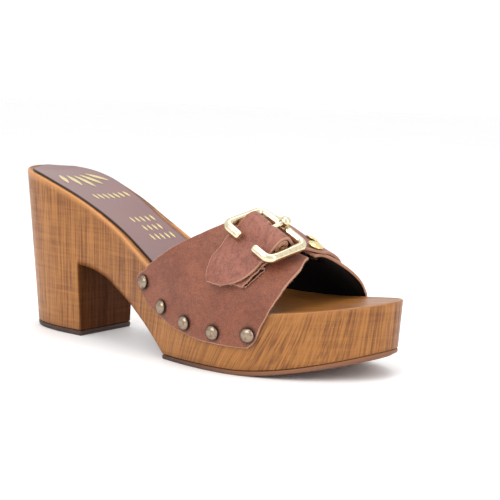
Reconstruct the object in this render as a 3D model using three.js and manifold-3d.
// Right-foot wooden clog: a one-piece block-heel sole, a nailed two-panel leather vamp and a buckled strap.
// Millimetres. +X points to the toe, +Y to the inner (medial) side, +Z up. The dimensions are measured from
// the back of the heel, in the frame of the last. The finished group is tipped to stand on its heel and ball,
// and moved so that its origin is on the ground under the middle of the clog.
import * as THREE from 'three';
import { mergeVertices } from 'three/addons/utils/BufferGeometryUtils.js';
import Module from 'manifold-3d';

const wasm = await Module();
wasm.setup();

// ---- driving dimensions -------------------------------------------------------------------------
const SOLE_LENGTH = 245;
const MIDDLE = [121.25, -2.87];      // middle of the whole clog in plan, from the heel's back
const TIP_DEG = 1;                    // how far the last's frame leans back when the clog stands
const BALL_X = 165;                  // middle of the ball, where the clog is tipped
const RUN_GAP = 0.3;                 // running gap kept between pieces that touch
const TOP_LIFT_THICK = 2.8;
const OUTSOLE_THICK = 2.3;
const HEEL_RAKE = 8;                 // how far the heel's back comes forward at the ground
const HEEL_NARROW_OUTER = 0.86;      // half width of the heel at the ground, of its half width at the seat
const HEEL_NARROW_INNER = 0.68;
const TOE_RAKE = 3;                  // how far the toe wall leans in at the ground
const TOE_SPRING = 12.4;             // lift of the outsole at the toe tip
const SOCK_THICK = 1.0;
const VAMP_GAP = 0.45;               // between the vamp and the sole's wall
const VAMP_THICK = 1.8;
const STRAP_THICK = 1.8;
const ANCHOR_THICK = 2.3;            // two plies of the anchor strap sewn together
const OUTER_POWER = 2.4;             // how square the arch of the upper is: 2 is an ellipse
const INNER_POWER = 1.9;
const INNER_FRONT_POWER = 1.4;       // inside, the stiff flap pulls the arch straighter towards the toe
const NAIL_HEAD_R = 3.9;
const NAIL_SHANK_R = 1.1;
const NAIL_DEPTH = 9;
const RIVET_HEAD_R = 4.0;
const RIVET_SHANK_R = 1.3;
const ROD_R = 2.4;                   // buckle frame rod
const PIN_R = 1.5;                   // buckle centre bar
const BUCKLE_HALF_BAR = 16;        // half length of the bars, between the arms' centre lines
const BUCKLE_HALF_ARM = 12.8;        // half length of the arms
const BUCKLE_CORNER_R = 3.7;
const BUCKLE_MOUTH = 9.5;            // gap in the outer bar
const PRONG_R = 1.25;
const KNOB_R = 2.7;

// Rim of the sole in plan: heel back, outer side, toe, inner side.
const RIM = [
  [0, 0], [3, -12.5], [13, -21.5], [32, -27], [60, -28.5], [92, -30], [122, -36], [148, -41.5], [170, -43],
  [190, -40.5], [209, -34], [225, -23.5], [237, -11], [244, 2], [244.5, 12], [239, 23], [228, 32],
  [212, 37.5], [192, 38.5], [168, 35.5], [142, 28.5], [115, 23], [88, 22], [60, 24.5], [32, 25.5],
  [13, 21], [3, 12],
];
// Height of the footbed, and rise of the upper's crown above it, along the sole.
const FOOTBED = [[0, 96.5], [30, 90.5], [60, 80], [85, 67.5], [108, 54], [130, 41.5], [155, 34], [185, 32],
  [215, 34], [SOLE_LENGTH, 38]];
const CROWN = [[100, 60], [120, 53], [145, 47], [157, 43.5], [165, 41], [173, 38], [188, 31], [200, 25.5],
  [206, 23], [220, 18]];

// ---- small helpers ------------------------------------------------------------------------------
const rad = THREE.MathUtils.degToRad;
const lerp = THREE.MathUtils.lerp;

// Smooth value through [x, value] pairs, by a Hermite cubic with averaged slopes.
function smooth(table, x) {
  const n = table.length;
  let i = 0;
  while (i < n - 2 && x > table[i + 1][0]) i += 1;
  const slope = (a, b) => (table[b][1] - table[a][1]) / (table[b][0] - table[a][0]);
  const end = (k) => slope(Math.max(k - 1, 0), Math.min(k + 1, n - 1));
  const [x0, y0] = table[i];
  const [x1, y1] = table[i + 1];
  const w = x1 - x0;
  const t = THREE.MathUtils.clamp((x - x0) / w, 0, 1);
  const s = 1 - t;
  return y0 * s * s * (1 + 2 * t) + y1 * t * t * (3 - 2 * t)
    + w * t * s * (end(i) * s - end(i + 1) * t);
}

function geometryOf(points, triangles) {
  const geometry = new THREE.BufferGeometry();
  const numbers = points.flatMap((p) => [p.x, p.y, p.z]);
  geometry.setAttribute('position', new THREE.Float32BufferAttribute(numbers, 3));
  geometry.setIndex(triangles.flat());
  return geometry;
}

function solidOf(geometry) {
  const bare = geometry.clone();
  bare.deleteAttribute('normal');
  bare.deleteAttribute('uv');
  const merged = mergeVertices(bare, 1e-4);
  return new wasm.Manifold(new wasm.Mesh({
    numProp: 3,
    vertProperties: new Float32Array(merged.attributes.position.array),
    triVerts: new Uint32Array(merged.index.array),
  }));
}

function geometryOfSolid(solid) {
  const mesh = solid.getMesh();
  const geometry = new THREE.BufferGeometry();
  geometry.setAttribute('position', new THREE.Float32BufferAttribute(Array.from(mesh.vertProperties), 3));
  geometry.setIndex(Array.from(mesh.triVerts));
  return geometry;
}

const cut = (geometry, tools) => geometryOfSolid(
  tools.reduce((left, tool) => left.subtract(solidOf(tool)), solidOf(geometry)),
);

// Closed solid between two grids of points with the same rows and columns.
function slab(lower, upper) {
  const rows = lower.length;
  const cols = lower[0].length;
  const points = [...lower.flat(), ...upper.flat()];
  const at = (level, i, j) => (level * rows + i) * cols + j;
  const triangles = [];
  const quad = (a, b, c, d) => triangles.push([a, b, c], [a, c, d]);
  for (let i = 0; i < rows - 1; i += 1) {
    for (let j = 0; j < cols - 1; j += 1) {
      quad(at(1, i, j), at(1, i + 1, j), at(1, i + 1, j + 1), at(1, i, j + 1));
      quad(at(0, i, j), at(0, i, j + 1), at(0, i + 1, j + 1), at(0, i + 1, j));
    }
    quad(at(0, i, 0), at(0, i + 1, 0), at(1, i + 1, 0), at(1, i, 0));
    quad(at(0, i, cols - 1), at(1, i, cols - 1), at(1, i + 1, cols - 1), at(0, i + 1, cols - 1));
  }
  for (let j = 0; j < cols - 1; j += 1) {
    quad(at(0, 0, j), at(1, 0, j), at(1, 0, j + 1), at(0, 0, j + 1));
    quad(at(0, rows - 1, j), at(0, rows - 1, j + 1), at(1, rows - 1, j + 1), at(1, rows - 1, j));
  }
  const geometry = geometryOf(points, triangles);
  const flipped = solidOf(geometry).volume() < 0;
  if (flipped) geometry.setIndex(triangles.map(([a, b, c]) => [a, c, b]).flat());
  return geometry;
}

// Sheet of one thickness about a grid of middle points.
function sheet(middle, thick) {
  const rows = middle.length;
  const cols = middle[0].length;
  const normal = (i, j) => {
    const along = middle[Math.min(i + 1, rows - 1)][j].clone().sub(middle[Math.max(i - 1, 0)][j]);
    const across = middle[i][Math.min(j + 1, cols - 1)].clone().sub(middle[i][Math.max(j - 1, 0)]);
    return along.cross(across).normalize();
  };
  const moved = (half) => middle.map(
    (row, i) => row.map((p, j) => p.clone().addScaledVector(normal(i, j), half)),
  );
  return slab(moved(-thick / 2), moved(thick / 2));
}

// ---- the sole's surfaces ------------------------------------------------------------------------
const rimKnots = RIM.map(([x, y]) => new THREE.Vector3(x, y, 0));
const rimCurve = new THREE.CatmullRomCurve3(rimKnots, true, 'centripetal');
const rimPoints = Array.from({ length: RIM.length * 4 }, (_, i) => rimCurve.getPoint(i / (RIM.length * 4)));
const footbed = (x) => smooth(FOOTBED, x);

// Half width of the rim at x, on the inner (side 1) or outer (side -1) side.
function halfWidth(x, side) {
  const toe = rimPoints.reduce((best, p, i) => (p.x > rimPoints[best].x ? i : best), 0);
  const run = side < 0 ? rimPoints.slice(0, toe + 1) : [...rimPoints.slice(toe), rimPoints[0]].reverse();
  let i = 0;
  while (i < run.length - 2 && x > run[i + 1].x) i += 1;
  const t = THREE.MathUtils.clamp((x - run[i].x) / (run[i + 1].x - run[i].x), 0, 1);
  return Math.abs(lerp(run[i].y, run[i + 1].y, t));
}

// A rim point lowered to height z, with the heel's rake and narrowing and the toe's lean.
function wallPoint(p, z) {
  const heel = THREE.MathUtils.clamp(1 - p.x / 60, 0, 1);
  const seat = THREE.MathUtils.clamp((105 - p.x) / 40, 0, 1);
  const toe = THREE.MathUtils.clamp((p.x - 175) / 65, 0, 1);
  const drop = 1 - z / 96;
  const dropToe = 1 - z / 38;
  const narrow = 1 - (1 - (p.y < 0 ? HEEL_NARROW_OUTER : HEEL_NARROW_INNER)) * seat * drop;
  const y = p.y * narrow * (1 - 0.06 * toe * dropToe);
  const x = p.x + HEEL_RAKE * heel * drop - TOE_RAKE * toe * dropToe;
  return new THREE.Vector3(x, y, z);
}

// Everything inside the sole's walls, from z = low to z = high.
function wallSolid(low, high) {
  const n = rimPoints.length;
  const points = [...rimPoints.map((p) => wallPoint(p, low)), ...rimPoints.map((p) => wallPoint(p, high))];
  points.push(new THREE.Vector3(SOLE_LENGTH / 2, 0, low), new THREE.Vector3(SOLE_LENGTH / 2, 0, high));
  const triangles = [];
  for (let i = 0; i < n; i += 1) {
    const k = (i + 1) % n;
    triangles.push([i, k, n + k], [i, n + k, n + i], [2 * n, k, i], [2 * n + 1, n + i, n + k]);
  }
  return geometryOf(points, triangles);
}

// Straight prism across the clog with a side-view outline in x and z.
function crossPrism(outline) {
  const shape = new THREE.Shape(outline.map(([x, z]) => new THREE.Vector2(x, z)));
  const width = 140;
  const geometry = new THREE.ExtrudeGeometry(shape, { depth: width, bevelEnabled: false });
  geometry.rotateX(Math.PI / 2);
  geometry.translate(0, width / 2, 0);
  return geometry;
}

const steps = (from, to, n) => Array.from({ length: n + 1 }, (_, i) => lerp(from, to, i / n));
const GROUND_BACK = 130;             // where the outsole starts
const SPRING_START = 178;
const HEEL_FRONT = 57;
// The ground, seen in the frame of the last, and the underside of the outsole: flat under the ball, sprung at
// the toe.
const ground = (x) => Math.tan(rad(TIP_DEG)) * (BALL_X - x);
const groundLine = (x) => ground(x)
  + TOE_SPRING * THREE.MathUtils.clamp((x - SPRING_START) / (SOLE_LENGTH - SPRING_START), 0, 1) ** 1.7;
const groundSteps = steps(GROUND_BACK, SOLE_LENGTH + 6, 14);
const ARCH = [[HEEL_FRONT, 43], [67, 41.8], [75, 39.6], [83, 36.1], [89, 32.4], [95, 29], [101, 25.8],
  [108, 21.2], [115, 16.2], [120, 12.2], [125, 7.9]];

const soleOutline = [
  ...steps(-6, SOLE_LENGTH + 6, 36).map((x) => [x, footbed(x)]),
  ...groundSteps.slice().reverse().map((x) => [x, groundLine(x) + OUTSOLE_THICK + RUN_GAP]),
  ...ARCH.slice().reverse(),
  [HEEL_FRONT, ground(HEEL_FRONT) + TOP_LIFT_THICK + RUN_GAP],
  [-6, ground(-6) + TOP_LIFT_THICK + RUN_GAP],
];
const outsoleOutline = [
  ...groundSteps.map((x) => [x, groundLine(x)]),
  ...groundSteps.slice().reverse().map((x) => [x, groundLine(x) + OUTSOLE_THICK]),
];
const topLiftOutline = [[-6, ground(-6)], [HEEL_FRONT, ground(HEEL_FRONT)],
  [HEEL_FRONT, ground(HEEL_FRONT) + TOP_LIFT_THICK], [-6, ground(-6) + TOP_LIFT_THICK]];
const walls = solidOf(wallSolid(-2, 110));
const soleBlank = solidOf(crossPrism(soleOutline)).intersect(walls);
const forefootOutsole = geometryOfSolid(solidOf(crossPrism(outsoleOutline)).intersect(walls));
const heelTopLift = geometryOfSolid(solidOf(crossPrism(topLiftOutline)).intersect(walls));

// Insole sock: a leather sheet on the footbed, inset from the rim, ending under the vamp.
const SOCK_INSET_OUTER = [[0, 1.6], [40, 1.8], [80, 3], [115, 4.5], [175, 5]];
const SOCK_INSET_INNER = [[0, 1.6], [35, 2], [65, 5], [90, 7], [120, 6], [175, 5]];
const SOCK_END = 172;
function sockGrid(level) {
  const along = steps(0, Math.PI, 18).map((t) => lerp(2, SOCK_END, (1 - Math.cos(t)) / 2));
  return along.map((x) => {
    const front = Math.sqrt(THREE.MathUtils.clamp((SOCK_END - x) / 22, 0.0004, 1));
    const outer = Math.max(halfWidth(x, -1) - smooth(SOCK_INSET_OUTER, x), 0.6) * front;
    const inner = Math.max(halfWidth(x, 1) - smooth(SOCK_INSET_INNER, x), 0.6) * front;
    return steps(-outer, inner, 4).map((y) => new THREE.Vector3(x, y, footbed(x) + level));
  });
}
const insoleSock = slab(sockGrid(RUN_GAP), sockGrid(RUN_GAP + SOCK_THICK));

// ---- the upper's surface ------------------------------------------------------------------------
// Point of the upper at x, height offset off above the base surface, and place v across it: from -d (d mm
// down the outer wall) through 0 (outer rim), 90 (crown) and 180 (inner rim) to 180 + d (down the inner wall).
function upperPoint(x, v, off) {
  const side = v < 90 ? -1 : 1;
  const reach = halfWidth(x, side) + off;
  const down = v < 0 ? -v : Math.max(v - 180, 0);
  const angle = rad(THREE.MathUtils.clamp(v, 0, 180));
  const towardsToe = THREE.MathUtils.clamp((x - 172) / 32, 0, 1);
  const inner = THREE.MathUtils.lerp(INNER_POWER, INNER_FRONT_POWER, towardsToe);
  const power = 2 / (v < 90 ? OUTER_POWER : inner);
  const out = Math.abs(Math.cos(angle)) ** power;
  const rise = Math.abs(Math.sin(angle)) ** power;
  const wall = wallPoint(new THREE.Vector3(x, side * halfWidth(x, side), 0), footbed(x) - down);
  const lean = halfWidth(x, side) - Math.abs(wall.y);
  const z = footbed(x) - down + (smooth(CROWN, x) + off) * (down > 0 ? 0 : rise);
  return new THREE.Vector3(x, side * (reach * out - (down > 0 ? lean : 0)), z);
}
const upperNormal = (x, v, off) => {
  const p = upperPoint(x, v, off);
  const along = upperPoint(x + 1, v, off).sub(p);
  const across = upperPoint(x, v + 1, off).sub(p);
  return along.cross(across).normalize();
};

// Panel edges as [v, x] pairs, v counted from the panel's own rim up towards the crown.
const OUTER_REAR = [[-17.5, 121], [-13, 110], [0, 118.5], [5, 123.5], [18, 134.5], [31, 144.5], [44, 152.5],
  [65, 160], [88, 162]];
const OUTER_FRONT = [[-17.5, 189], [-13.5, 192.8], [-7, 195.3], [0, 199], [10, 202.3], [20, 204.4], [52, 207],
  [73, 203.6], [88, 203]];
const INNER_REAR = [[-17.5, 121], [-13, 111], [0, 119.5], [10, 130], [24, 143], [50, 155.5], [73, 163.5],
  [97, 165]];
const INNER_FRONT = [[-17.5, 197], [-8, 204.5], [0, 207], [12, 207], [28, 207.2], [45, 206], [60, 204],
  [97, 203]];
const PANEL_STOPS = [-17.5, -15.5, -13, -8, 0, 4, 9, 16, 25, 36, 50, 64, 78];

function panel(rear, front, top, inner) {
  const stops = [...PANEL_STOPS.filter((v) => v < top - 2), top];
  const grid = (off) => stops.map((v) => steps(smooth(rear, v), smooth(front, v), 9)
    .map((x) => upperPoint(x, inner ? 180 - v : v, off)));
  return slab(grid(VAMP_GAP), grid(VAMP_GAP + VAMP_THICK));
}

// ---- the buckle's frame of reference ------------------------------------------------------------
const BUCKLE_AT = new THREE.Vector3(186.9, -25.4, 69.6);
// BAR_DIR runs from the rear arm to the front arm, ARM_DIR from the outer bar to the inner bar.
const BAR_DIR = new THREE.Vector3(0.873, -0.044, -0.486).normalize();
const LIFT_DIR = BAR_DIR.clone().cross(new THREE.Vector3(0.169, 0.962, 0.216)).normalize();
const ARM_DIR = LIFT_DIR.clone().cross(BAR_DIR).normalize();
const buckleMatrix = new THREE.Matrix4().makeBasis(BAR_DIR, ARM_DIR, LIFT_DIR).setPosition(BUCKLE_AT);
const inBuckle = (u, a, h) => new THREE.Vector3(u, a, h).applyMatrix4(buckleMatrix);

// Rod path of the frame: a rounded rectangle open in the middle of the outer bar.
function framePath() {
  const [w, h, r] = [BUCKLE_HALF_BAR, BUCKLE_HALF_ARM, BUCKLE_CORNER_R];
  const arc = (cu, ca, from) => steps(from, from - 90, 6)
    .map((deg) => new THREE.Vector3(cu + r * Math.cos(rad(deg)), ca + r * Math.sin(rad(deg)), 0));
  const points = [
    new THREE.Vector3(-BUCKLE_MOUTH / 2, -h, 0), new THREE.Vector3(-w * 0.55, -h, 0),
    ...arc(-w + r, -h + r, 270), new THREE.Vector3(-w, 0, 0), ...arc(-w + r, h - r, 180),
    new THREE.Vector3(0, h, 0), ...arc(w - r, h - r, 90), new THREE.Vector3(w, 0, 0), ...arc(w - r, -h + r, 0),
    new THREE.Vector3(w * 0.55, -h, 0), new THREE.Vector3(BUCKLE_MOUTH / 2, -h, 0),
  ];
  return new THREE.CatmullRomCurve3(points, false, 'centripetal');
}

function circle(radius, sides) {
  const shape = new THREE.Shape();
  shape.absarc(0, 0, radius, 0, Math.PI * 2, false);
  return new THREE.Shape(shape.getPoints(sides / 2).slice(0, -1));
}

// Round bar along the buckle's bar direction, centred in the buckle's frame of reference.
function barAlong(radius, length, sides = 16) {
  const geometry = new THREE.CylinderGeometry(radius, radius, length, sides);
  geometry.rotateZ(-Math.PI / 2);
  return geometry;
}

const knobAt = new THREE.Vector3(0, BUCKLE_HALF_ARM + 0.2, 3.5);
const knobHollow = new THREE.SphereGeometry(KNOB_R + 0.35, 12, 8);
knobHollow.translate(knobAt.x, knobAt.y, knobAt.z);
const sweep = (radius, sides, stepCount, extrudePath) => new THREE.ExtrudeGeometry(
  circle(radius, sides),
  { steps: stepCount, bevelEnabled: false, extrudePath },
);
const rod = sweep(ROD_R, 10, 46, framePath());
const pinHole = barAlong(PIN_R + 0.05, 60);
const buckleFrame = cut(rod, [knobHollow, pinHole]).applyMatrix4(buckleMatrix);
const centerBar = barAlong(PIN_R - 0.02, 2 * (BUCKLE_HALF_BAR + ROD_R) - 0.8).applyMatrix4(buckleMatrix);

// Prong: an eye round the centre bar, a shank up through the strap and a round knob over the inner bar.
const ringProfile = (low, high, half) => [[low, -half], [high, -half], [high, half], [low, half], [low, -half]]
  .map(([r, along]) => new THREE.Vector2(r, along));
const eye = new THREE.LatheGeometry(ringProfile(PIN_R + 0.06, PIN_R + 1.4, 1.7), 20).rotateZ(Math.PI / 2);
const shankPath = new THREE.CatmullRomCurve3([
  new THREE.Vector3(0, 0.6, 2.2), new THREE.Vector3(0, 3.2, 2.9), new THREE.Vector3(0, 6.5, 3.3),
  new THREE.Vector3(0, 9.5, 3.5), knobAt,
]);
const shank = sweep(PRONG_R, 8, 8, shankPath);
const knob = new THREE.SphereGeometry(KNOB_R, 12, 8);
knob.translate(knobAt.x, knobAt.y, knobAt.z);
const eyeBore = barAlong(PIN_R + 0.06, 12, 20);
const prong = geometryOfSolid(
  solidOf(eye).add(solidOf(shank)).add(solidOf(knob)).subtract(solidOf(eyeBore)),
).applyMatrix4(buckleMatrix);

// Height of the vamp's outer face above the base surface, with the running gap on it.
const HEAD_OFF = VAMP_GAP + VAMP_THICK + RUN_GAP;

// ---- straps -------------------------------------------------------------------------------------
const ACROSS = 6;
const onUpper = (v, rear, front, off) => steps(rear, front, ACROSS).map((x) => upperPoint(x, v, off));
const inFrame = (half, a, h) => steps(-half, half, ACROSS).map((u) => inBuckle(u, a, h));

// Rows of points joined smoothly, with some extra rows between each pair.
function loft(rows, between) {
  const column = (j) => rows.map((row) => row[j]);
  const columns = rows[0].map((_, j) => new THREE.CatmullRomCurve3(column(j), false, 'centripetal'));
  const n = (rows.length - 1) * (between + 1);
  return steps(0, 1, n).map((t) => columns.map((curve) => curve.getPoint(t)));
}

const FLAP_OFF = HEAD_OFF + STRAP_THICK / 2 + 0.15;
const TAIL_OFF = HEAD_OFF + RUN_GAP + ANCHOR_THICK + STRAP_THICK / 2 + 0.6;
const STRAP_HALF = 11.7;
const UNDER_BAR = -(ROD_R + 0.95 + STRAP_THICK / 2);
// Flap rows from its round tip: [v, rear x, front x]; then the strap through the buckle: [arm, lift];
// then the pointed tail.
const FLAP_ROWS = [[160.5, 176, 181], [158, 172.5, 186], [150, 169.3, 192], [141, 169, 196],
  [131, 169.3, 198.8], [118, 169.5, 201], [107, 169, 202.4], [98, 167, 203.8], [92.5, 164.8, 204.2]];
const ARCH_ROWS = [[13, UNDER_BAR], [10.3, -3.75], [8.2, -1.2], [5.6, 2.4], [3, 4.9]];
const BUCKLE_ROWS = [...ARCH_ROWS, [0, 5.7], ...ARCH_ROWS.map(([a, h]) => [-a, h]).reverse()];
const TAIL_ROWS = [[38, 168.6, 193.4], [31, 167, 191], [24, 166.6, 187.4], [18.5, 166.8, 182.3],
  [14.5, 168.2, 175.5]];
const strapRows = [
  ...FLAP_ROWS.map(([v, rear, front]) => onUpper(v, rear, front, FLAP_OFF)),
  ...BUCKLE_ROWS.map(([a, h]) => inFrame(STRAP_HALF, a, h)),
  ...TAIL_ROWS.map(([v, rear, front]) => onUpper(v, rear, front, TAIL_OFF)),
];
const strapBlank = sheet(loft(strapRows, 1), STRAP_THICK);

// Slot in the strap for the prong, on the inner side of the arch.
const prongSlot = new THREE.CylinderGeometry(2.1, 2.1, 16, 14);
prongSlot.scale(1, 1, 1.9);
prongSlot.rotateX(rad(90 - 52));
prongSlot.translate(0, 5.2, 3.1);
prongSlot.applyMatrix4(buckleMatrix);

// Anchor strap: a loop round the centre bar and its two plies lying on the outer panel.
const ANCHOR_OFF = HEAD_OFF + ANCHOR_THICK / 2 + 0.2;
const LOOP_IN = PIN_R + 0.35;
const LOOP_OUT = LOOP_IN + 1.35;
const anchorRows = [
  inFrame(STRAP_HALF, -2.2, -1.2), inFrame(STRAP_HALF, -4.2, -2.6), inFrame(STRAP_HALF, -8, -5.2),
  inFrame(STRAP_HALF, -12.4, UNDER_BAR - STRAP_THICK / 2 - RUN_GAP - ANCHOR_THICK / 2 - 0.1),
  onUpper(38, 170, 195, ANCHOR_OFF), onUpper(29, 168.6, 192.4, ANCHOR_OFF),
  onUpper(18, 167.6, 189.4, ANCHOR_OFF),
];
const loopTube = new THREE.LatheGeometry(ringProfile(LOOP_IN, LOOP_OUT, STRAP_HALF), 20).rotateZ(Math.PI / 2);
const loopBore = barAlong(LOOP_IN, 60, 20);
const prongNotch = new THREE.BoxGeometry(5, 9.4, 12);
const anchorSheet = sheet(loft(anchorRows, 1), ANCHOR_THICK);
const toWorld = (geometry) => geometry.clone().applyMatrix4(buckleMatrix);
const anchorBlank = solidOf(anchorSheet).add(solidOf(toWorld(loopTube)))
  .subtract(solidOf(toWorld(loopBore))).subtract(solidOf(toWorld(prongNotch)));

// ---- nails and rivets ---------------------------------------------------------------------------
// Puts a piece made along +Z, with its seat at z = 0, at a point of the upper and along its outward normal.
function seat(geometry, x, v, off) {
  const turn = new THREE.Quaternion().setFromUnitVectors(new THREE.Vector3(0, 0, 1), upperNormal(x, v, off));
  const place = upperPoint(x, v, off);
  return geometry.clone().applyMatrix4(new THREE.Matrix4().compose(place, turn, new THREE.Vector3(1, 1, 1)));
}
const turned = (profile, sides) => new THREE.LatheGeometry(
  profile.map(([r, z]) => new THREE.Vector2(r, z)),
  sides,
).rotateX(Math.PI / 2);

const dome = (radius, height, n) => steps(0, 90, n)
  .map((deg) => [deg < 90 ? radius * Math.cos(rad(deg)) : 0, height * Math.sin(rad(deg))]);
const nailShape = turned([[0, -NAIL_DEPTH], [NAIL_SHANK_R * 0.7, -NAIL_DEPTH + 1.5],
  [NAIL_SHANK_R, -NAIL_DEPTH + 3], [NAIL_SHANK_R, 0], ...dome(NAIL_HEAD_R, 2.5, 3)], 10);
const rivetShape = (grip) => turned([[0, -grip], [RIVET_SHANK_R, -grip], [RIVET_SHANK_R, 0],
  ...dome(RIVET_HEAD_R, 1.5, 3)], 12);
const washerShape = (depth) => turned([[RIVET_SHANK_R + 0.1, -0.8], [RIVET_HEAD_R - 0.6, -0.8],
  [RIVET_HEAD_R - 0.6, 0], [RIVET_SHANK_R + 0.1, 0], [RIVET_SHANK_R + 0.1, -0.8]], 12).translate(0, 0, -depth);
const hole = (radius, low, high) => new THREE.CylinderGeometry(radius, radius, high - low, 12)
  .rotateX(Math.PI / 2).translate(0, 0, (low + high) / 2);

const NAIL_PLACES = [[116.6, -8.8], [132.1, -11.8], [150.4, -11.9], [169.6, -11.9], [189.1, -10.8]];
const INNER_NAIL_PLACES = [[117, -8.8], [134, -11.8], [154, -12], [174.5, -12], [195, -11]];
const nailSpots = [
  ...NAIL_PLACES.map(([x, v], i) => ({ name: `outer_nail_${i + 1}`, x, v })),
  ...INNER_NAIL_PLACES.map(([x, v], i) => ({ name: `inner_nail_${i + 1}`, x, v: 180 - v })),
];
// Place of each rivet, and how far the strap stands above the flap's height there.
const STRAP_RIVETS = [[182, 139, 0], [188.5, 110, 0.1], [174, 90, 1.0], [199.4, 88.8, 1.0]];
const ANCHOR_RIVETS = [[173.5, 30], [185.5, 28]];
const ANCHOR_TOP = HEAD_OFF + ANCHOR_THICK + 0.2;

const nailHole = hole(NAIL_SHANK_R + 0.25, -NAIL_DEPTH - 1, 3);
const rivetHole = hole(RIVET_SHANK_R + 0.3, -8, 3);
const nailHoles = nailSpots.map(({ x, v }) => seat(nailHole, x, v, HEAD_OFF));
const strapTop = (lift) => HEAD_OFF + STRAP_THICK + 0.35 + lift;
const rivetHoles = STRAP_RIVETS.map(([x, v, lift]) => seat(rivetHole, x, v, strapTop(lift)));
const anchorSeats = ANCHOR_RIVETS.map(([x, v]) => seat(hole(3.3, -0.9, 4), x, v, ANCHOR_TOP));
const anchorHoles = ANCHOR_RIVETS.map(([x, v]) => seat(rivetHole, x, v, ANCHOR_TOP));
const anchorSolid = [...anchorSeats, ...anchorHoles]
  .reduce((left, tool) => left.subtract(solidOf(tool)), anchorBlank);

const outerVamp = cut(panel(OUTER_REAR, OUTER_FRONT, 76, false), [...nailHoles.slice(0, 5), ...anchorHoles]);
const innerVamp = cut(panel(INNER_REAR, INNER_FRONT, 95, true), [...nailHoles.slice(5), ...rivetHoles]);
const buckleStrap = cut(strapBlank, [prongSlot, ...rivetHoles]);
const woodenSole = nailHoles.reduce((left, tool) => left.subtract(solidOf(tool)), soleBlank);

// ---- materials and the assembly -----------------------------------------------------------------
const finish = (color, roughness, metalness) => new THREE.MeshStandardMaterial({ color, roughness, metalness });
const WOOD = [0xa0642c, 0.5, 0];
const RUBBER = [0x2c211c, 0.8, 0];
const LEATHER = [0x8a4f3d, 0.55, 0];
const SOCK = [0x5a4142, 0.5, 0];
const GOLD = [0xe2cd92, 0.2, 1];
const NICKEL = [0x8d8377, 0.3, 1];

const clog = new THREE.Group();
const tip = new THREE.Matrix4().makeRotationY(-rad(TIP_DEG));
const stand = new THREE.Matrix4().makeTranslation(BALL_X - MIDDLE[0], -MIDDLE[1], 0)
  .multiply(tip).multiply(new THREE.Matrix4().makeTranslation(-BALL_X, 0, 0));
clog.applyMatrix4(stand);
function add(name, geometry, look) {
  const mesh = new THREE.Mesh(geometry, finish(...look));
  mesh.name = name;
  clog.add(mesh);
}

add('wooden_sole', geometryOfSolid(woodenSole), WOOD);
add('forefoot_outsole', forefootOutsole, RUBBER);
add('heel_top_lift', heelTopLift, RUBBER);
add('insole_sock', insoleSock, SOCK);
add('outer_vamp', outerVamp, LEATHER);
add('inner_vamp', innerVamp, LEATHER);
nailSpots.forEach(({ name, x, v }) => add(name, seat(nailShape, x, v, HEAD_OFF + 0.15), NICKEL));
add('anchor_strap', geometryOfSolid(anchorSolid), LEATHER);
const flush = turned([[0, -7.2], [RIVET_SHANK_R, -7.2], [RIVET_SHANK_R, -0.6], [3, -0.6], [2.8, -0.1],
  [0, 0]], 12);
ANCHOR_RIVETS.forEach(([x, v], i) => {
  add(`anchor_rivet_${i + 1}`, seat(flush, x, v, ANCHOR_TOP), NICKEL);
  add(`anchor_washer_${i + 1}`, seat(washerShape(ANCHOR_TOP + 1.1), x, v, ANCHOR_TOP), NICKEL);
});
add('buckle_strap', buckleStrap, LEATHER);
STRAP_RIVETS.forEach(([x, v, lift], i) => {
  const top = strapTop(lift);
  add(`strap_rivet_${i + 1}`, seat(rivetShape(top + 1.2), x, v, top), GOLD);
  add(`strap_washer_${i + 1}`, seat(washerShape(top + 0.4), x, v, top), GOLD);
});
add('buckle_frame', buckleFrame, GOLD);
add('buckle_center_bar', centerBar, GOLD);
add('buckle_prong', prong, GOLD);

export default clog;
